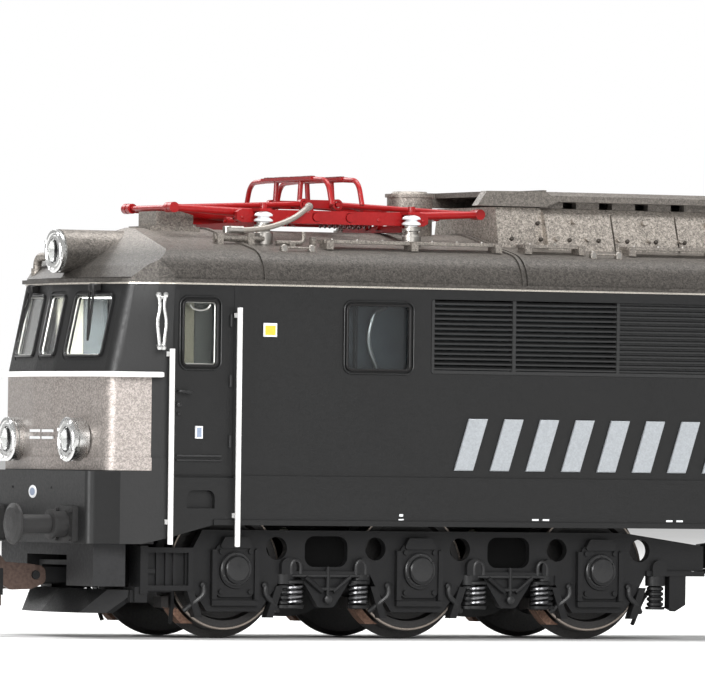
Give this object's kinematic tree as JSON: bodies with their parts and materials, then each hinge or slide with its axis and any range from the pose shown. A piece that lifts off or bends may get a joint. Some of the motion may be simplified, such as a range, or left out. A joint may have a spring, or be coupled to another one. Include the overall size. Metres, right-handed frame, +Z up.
{
  "type": "model electric locomotive",
  "caption": "Scale model of a six-axle electric freight locomotive with swivelling bogies, geared wheels, folding roof current collectors and loop couplers.",
  "frame": {"origin": "middle of the locomotive, on the surface that its wheel flanges stand on", "axes": "+X along the locomotive towards its rear end, +Y to its side, +Z up"},
  "size_m": [0.1988, 0.037, 0.0543],
  "materials": {
    "body_paint": "satin dark grey",
    "roof_paint": "speckled metallic grey",
    "clear_glass": "clear",
    "grille_paint": "satin dark grey",
    "white_rail": "white, slightly glossy",
    "black_trim": "matt black",
    "silver_trim": "bright silver",
    "lamp_lens": "clear",
    "buffer_black": "satin black",
    "cab_plastic": "matt grey green",
    "chassis_metal": "blackened die-cast metal",
    "screw_steel": "plated steel",
    "motor_steel": "plated steel",
    "copper_armature": "copper windings and steel",
    "turned_brass": "turned",
    "board_green": "lacquered board",
    "box_paint": "speckled light grey",
    "lid_paint": "metallic grey",
    "roof_fitting_paint": "metallic grey",
    "insulator_white": "white, glossy sheds",
    "pantograph_red": "glossy red",
    "cable_grey": "grey, metallic sheen",
    "black_plastic": "satin black",
    "gearbox_plastic": "satin black",
    "brake_brown": "rust brown",
    "worm_steel": "turned",
    "gear_plastic": "natural nylon",
    "wheel_metal": "blackened wheel, bright tread",
    "bronze_bail": "burnished bronze brown"
  },
  "bodies": {
    "body": {"body_shell": "body_paint", "roof_panel": "roof_paint", "window_glazing": "clear_glass", "air_grilles": "grille_paint", "side_handrails": "white_rail", "front_handrails": "white_rail", "wipers": "black_trim", "wind_deflectors": "silver_trim", "headlamp_bezels": "silver_trim", "headlamp_lenses": "lamp_lens", "buffers": "buffer_black", "cab_interiors": "cab_plastic", "chassis_frame": "chassis_metal", "body_screws": "screw_steel", "motor_can": "motor_steel", "circuit_board": "board_green", "resistor_box": "box_paint", "resistor_lid": "lid_paint", "roof_walkways": "roof_fitting_paint", "roof_fittings": "roof_fitting_paint", "insulators": "insulator_white", "pantograph_frames": "pantograph_red", "pantograph_cables": "cable_grey", "coupler_pockets": "black_plastic"},
    "motor_shaft": {"armature": "copper_armature", "flywheels": "turned_brass"},
    "bogie_front": {"bogie_frame_front": "black_plastic", "bogie_gearbox_front": "gearbox_plastic", "brake_shoes_front": "brake_brown"},
    "worm_front": {"worm_front": "worm_steel"},
    "worm_wheel_front": {"worm_wheel_front": "gear_plastic"},
    "idler_outer_front": {"idler_outer_front": "gear_plastic"},
    "idler_inner_front": {"idler_inner_front": "gear_plastic"},
    "wheelset_outer_front": {"wheelset_outer_front": "wheel_metal"},
    "wheelset_middle_front": {"wheelset_middle_front": "wheel_metal"},
    "wheelset_inner_front": {"wheelset_inner_front": "wheel_metal"},
    "coupler_front": {"coupler_arm_front": "black_plastic"},
    "bail_front": {"coupler_bail_front": "bronze_bail"},
    "lower_arm_outer_front": {"lower_arm_outer_front": "pantograph_red"},
    "upper_arm_outer_front": {"upper_arm_outer_front": "pantograph_red"},
    "lower_arm_inner_front": {"lower_arm_inner_front": "pantograph_red"},
    "upper_arm_inner_front": {"upper_arm_inner_front": "pantograph_red"},
    "pantograph_head_front": {"pantograph_head_front": "pantograph_red"},
    "bogie_rear": {"bogie_frame_rear": "black_plastic", "bogie_gearbox_rear": "gearbox_plastic", "brake_shoes_rear": "brake_brown"},
    "worm_rear": {"worm_rear": "worm_steel"},
    "worm_wheel_rear": {"worm_wheel_rear": "gear_plastic"},
    "idler_outer_rear": {"idler_outer_rear": "gear_plastic"},
    "idler_inner_rear": {"idler_inner_rear": "gear_plastic"},
    "wheelset_outer_rear": {"wheelset_outer_rear": "wheel_metal"},
    "wheelset_middle_rear": {"wheelset_middle_rear": "wheel_metal"},
    "wheelset_inner_rear": {"wheelset_inner_rear": "wheel_metal"},
    "coupler_rear": {"coupler_arm_rear": "black_plastic"},
    "bail_rear": {"coupler_bail_rear": "bronze_bail"},
    "lower_arm_outer_rear": {"lower_arm_outer_rear": "pantograph_red"},
    "upper_arm_outer_rear": {"upper_arm_outer_rear": "pantograph_red"},
    "lower_arm_inner_rear": {"lower_arm_inner_rear": "pantograph_red"},
    "upper_arm_inner_rear": {"upper_arm_inner_rear": "pantograph_red"},
    "pantograph_head_rear": {"pantograph_head_rear": "pantograph_red"}
  },
  "joints": [
    {"name": "motor_spin", "type": "hinge", "parent": "body", "child": "motor_shaft", "pos_m": [0, 0, 0.0235], "axis": [1, 0, 0], "continuous": true},
    {"name": "bogie_front_swing", "type": "hinge", "parent": "body", "child": "bogie_front", "pos_m": [-0.04483, 0, 0.021], "axis": [0, 0, 1], "range_deg": [-7, 7]},
    {"name": "worm_front_spin", "type": "hinge", "parent": "bogie_front", "child": "worm_front", "pos_m": [-0.04483, 0, 0.0235], "axis": [1, 0, 0], "continuous": true},
    {"name": "worm_wheel_front_spin", "type": "hinge", "parent": "bogie_front", "child": "worm_wheel_front", "pos_m": [-0.04483, 0, 0.0165], "axis": [0, 1, 0], "continuous": true},
    {"name": "idler_outer_front_spin", "type": "hinge", "parent": "bogie_front", "child": "idler_outer_front", "pos_m": [-0.05737, 0, 0.01218], "axis": [0, 1, 0], "continuous": true},
    {"name": "idler_inner_front_spin", "type": "hinge", "parent": "bogie_front", "child": "idler_inner_front", "pos_m": [-0.03229, 0, 0.01218], "axis": [0, 1, 0], "continuous": true},
    {"name": "wheelset_outer_front_spin", "type": "hinge", "parent": "bogie_front", "child": "wheelset_outer_front", "pos_m": [-0.06897, 0, 0.00818], "axis": [0, 1, 0], "continuous": true},
    {"name": "wheelset_middle_front_spin", "type": "hinge", "parent": "bogie_front", "child": "wheelset_middle_front", "pos_m": [-0.04483, 0, 0.00818], "axis": [0, 1, 0], "continuous": true},
    {"name": "wheelset_inner_front_spin", "type": "hinge", "parent": "bogie_front", "child": "wheelset_inner_front", "pos_m": [-0.02069, 0, 0.00818], "axis": [0, 1, 0], "continuous": true},
    {"name": "coupler_front_swing", "type": "hinge", "parent": "body", "child": "coupler_front", "pos_m": [-0.08, 0, 0.0072], "axis": [0, 0, 1], "range_deg": [-8, 8], "stiffness_Nm_per_rad": 0.0005},
    {"name": "bail_front_lift", "type": "hinge", "parent": "coupler_front", "child": "bail_front", "pos_m": [-0.08965, 0, 0.0072], "axis": [0, 1, 0], "range_deg": [0, 25]},
    {"name": "lower_arm_outer_front_raise", "type": "hinge", "parent": "body", "child": "lower_arm_outer_front", "pos_m": [-0.0563, 0, 0.0495], "axis": [0, 1, 0], "range_deg": [0, 42]},
    {"name": "upper_arm_outer_front_fold", "type": "hinge", "parent": "lower_arm_outer_front", "child": "upper_arm_outer_front", "pos_m": [-0.0743, 0, 0.0503], "axis": [0, 1, 0], "range_deg": [-84, 0]},
    {"name": "lower_arm_inner_front_raise", "type": "hinge", "parent": "body", "child": "lower_arm_inner_front", "pos_m": [-0.0519, 0, 0.0495], "axis": [0, -1, 0], "range_deg": [0, 42]},
    {"name": "upper_arm_inner_front_fold", "type": "hinge", "parent": "lower_arm_inner_front", "child": "upper_arm_inner_front", "pos_m": [-0.0339, 0, 0.0503], "axis": [0, -1, 0], "range_deg": [-84, 0]},
    {"name": "pantograph_head_front_level", "type": "hinge", "parent": "upper_arm_outer_front", "child": "pantograph_head_front", "pos_m": [-0.0563, 0, 0.0511], "axis": [0, 1, 0], "range_deg": [0, 42]},
    {"name": "bogie_rear_swing", "type": "hinge", "parent": "body", "child": "bogie_rear", "pos_m": [0.04483, 0, 0.021], "axis": [0, 0, 1], "range_deg": [-7, 7]},
    {"name": "worm_rear_spin", "type": "hinge", "parent": "bogie_rear", "child": "worm_rear", "pos_m": [0.04483, 0, 0.0235], "axis": [1, 0, 0], "continuous": true},
    {"name": "worm_wheel_rear_spin", "type": "hinge", "parent": "bogie_rear", "child": "worm_wheel_rear", "pos_m": [0.04483, 0, 0.0165], "axis": [0, 1, 0], "continuous": true},
    {"name": "idler_outer_rear_spin", "type": "hinge", "parent": "bogie_rear", "child": "idler_outer_rear", "pos_m": [0.05737, 0, 0.01218], "axis": [0, 1, 0], "continuous": true},
    {"name": "idler_inner_rear_spin", "type": "hinge", "parent": "bogie_rear", "child": "idler_inner_rear", "pos_m": [0.03229, 0, 0.01218], "axis": [0, 1, 0], "continuous": true},
    {"name": "wheelset_outer_rear_spin", "type": "hinge", "parent": "bogie_rear", "child": "wheelset_outer_rear", "pos_m": [0.06897, 0, 0.00818], "axis": [0, 1, 0], "continuous": true},
    {"name": "wheelset_middle_rear_spin", "type": "hinge", "parent": "bogie_rear", "child": "wheelset_middle_rear", "pos_m": [0.04483, 0, 0.00818], "axis": [0, 1, 0], "continuous": true},
    {"name": "wheelset_inner_rear_spin", "type": "hinge", "parent": "bogie_rear", "child": "wheelset_inner_rear", "pos_m": [0.02069, 0, 0.00818], "axis": [0, 1, 0], "continuous": true},
    {"name": "coupler_rear_swing", "type": "hinge", "parent": "body", "child": "coupler_rear", "pos_m": [0.08, 0, 0.0072], "axis": [0, 0, 1], "range_deg": [-8, 8], "stiffness_Nm_per_rad": 0.0005},
    {"name": "bail_rear_lift", "type": "hinge", "parent": "coupler_rear", "child": "bail_rear", "pos_m": [0.08965, 0, 0.0072], "axis": [0, -1, 0], "range_deg": [0, 25]},
    {"name": "lower_arm_outer_rear_raise", "type": "hinge", "parent": "body", "child": "lower_arm_outer_rear", "pos_m": [0.0563, 0, 0.0495], "axis": [0, -1, 0], "range_deg": [0, 42]},
    {"name": "upper_arm_outer_rear_fold", "type": "hinge", "parent": "lower_arm_outer_rear", "child": "upper_arm_outer_rear", "pos_m": [0.0743, 0, 0.0503], "axis": [0, -1, 0], "range_deg": [-84, 0]},
    {"name": "lower_arm_inner_rear_raise", "type": "hinge", "parent": "body", "child": "lower_arm_inner_rear", "pos_m": [0.0519, 0, 0.0495], "axis": [0, 1, 0], "range_deg": [0, 42]},
    {"name": "upper_arm_inner_rear_fold", "type": "hinge", "parent": "lower_arm_inner_rear", "child": "upper_arm_inner_rear", "pos_m": [0.0339, 0, 0.0503], "axis": [0, 1, 0], "range_deg": [-84, 0]},
    {"name": "pantograph_head_rear_level", "type": "hinge", "parent": "upper_arm_outer_rear", "child": "pantograph_head_rear", "pos_m": [0.0563, 0, 0.0511], "axis": [0, -1, 0], "range_deg": [0, 42]}
  ],
  "couplings": [
    {"joint": "worm_front_spin", "follows": "motor_spin", "ratio": 1},
    {"joint": "worm_wheel_front_spin", "follows": "motor_spin", "ratio": -0.05},
    {"joint": "idler_outer_front_spin", "follows": "motor_spin", "ratio": 0.030303},
    {"joint": "idler_inner_front_spin", "follows": "motor_spin", "ratio": 0.030303},
    {"joint": "wheelset_outer_front_spin", "follows": "motor_spin", "ratio": -0.0625},
    {"joint": "wheelset_inner_front_spin", "follows": "motor_spin", "ratio": -0.0625},
    {"joint": "upper_arm_outer_front_fold", "follows": "lower_arm_outer_front_raise", "ratio": -2},
    {"joint": "lower_arm_inner_front_raise", "follows": "lower_arm_outer_front_raise", "ratio": 1},
    {"joint": "upper_arm_inner_front_fold", "follows": "lower_arm_outer_front_raise", "ratio": -2},
    {"joint": "pantograph_head_front_level", "follows": "lower_arm_outer_front_raise", "ratio": 1},
    {"joint": "worm_rear_spin", "follows": "motor_spin", "ratio": 1},
    {"joint": "worm_wheel_rear_spin", "follows": "motor_spin", "ratio": -0.05},
    {"joint": "idler_outer_rear_spin", "follows": "motor_spin", "ratio": 0.030303},
    {"joint": "idler_inner_rear_spin", "follows": "motor_spin", "ratio": 0.030303},
    {"joint": "wheelset_outer_rear_spin", "follows": "motor_spin", "ratio": -0.0625},
    {"joint": "wheelset_inner_rear_spin", "follows": "motor_spin", "ratio": -0.0625},
    {"joint": "upper_arm_outer_rear_fold", "follows": "lower_arm_outer_rear_raise", "ratio": -2},
    {"joint": "lower_arm_inner_rear_raise", "follows": "lower_arm_outer_rear_raise", "ratio": 1},
    {"joint": "upper_arm_inner_rear_fold", "follows": "lower_arm_outer_rear_raise", "ratio": -2},
    {"joint": "pantograph_head_rear_level", "follows": "lower_arm_outer_rear_raise", "ratio": 1}
  ]
}
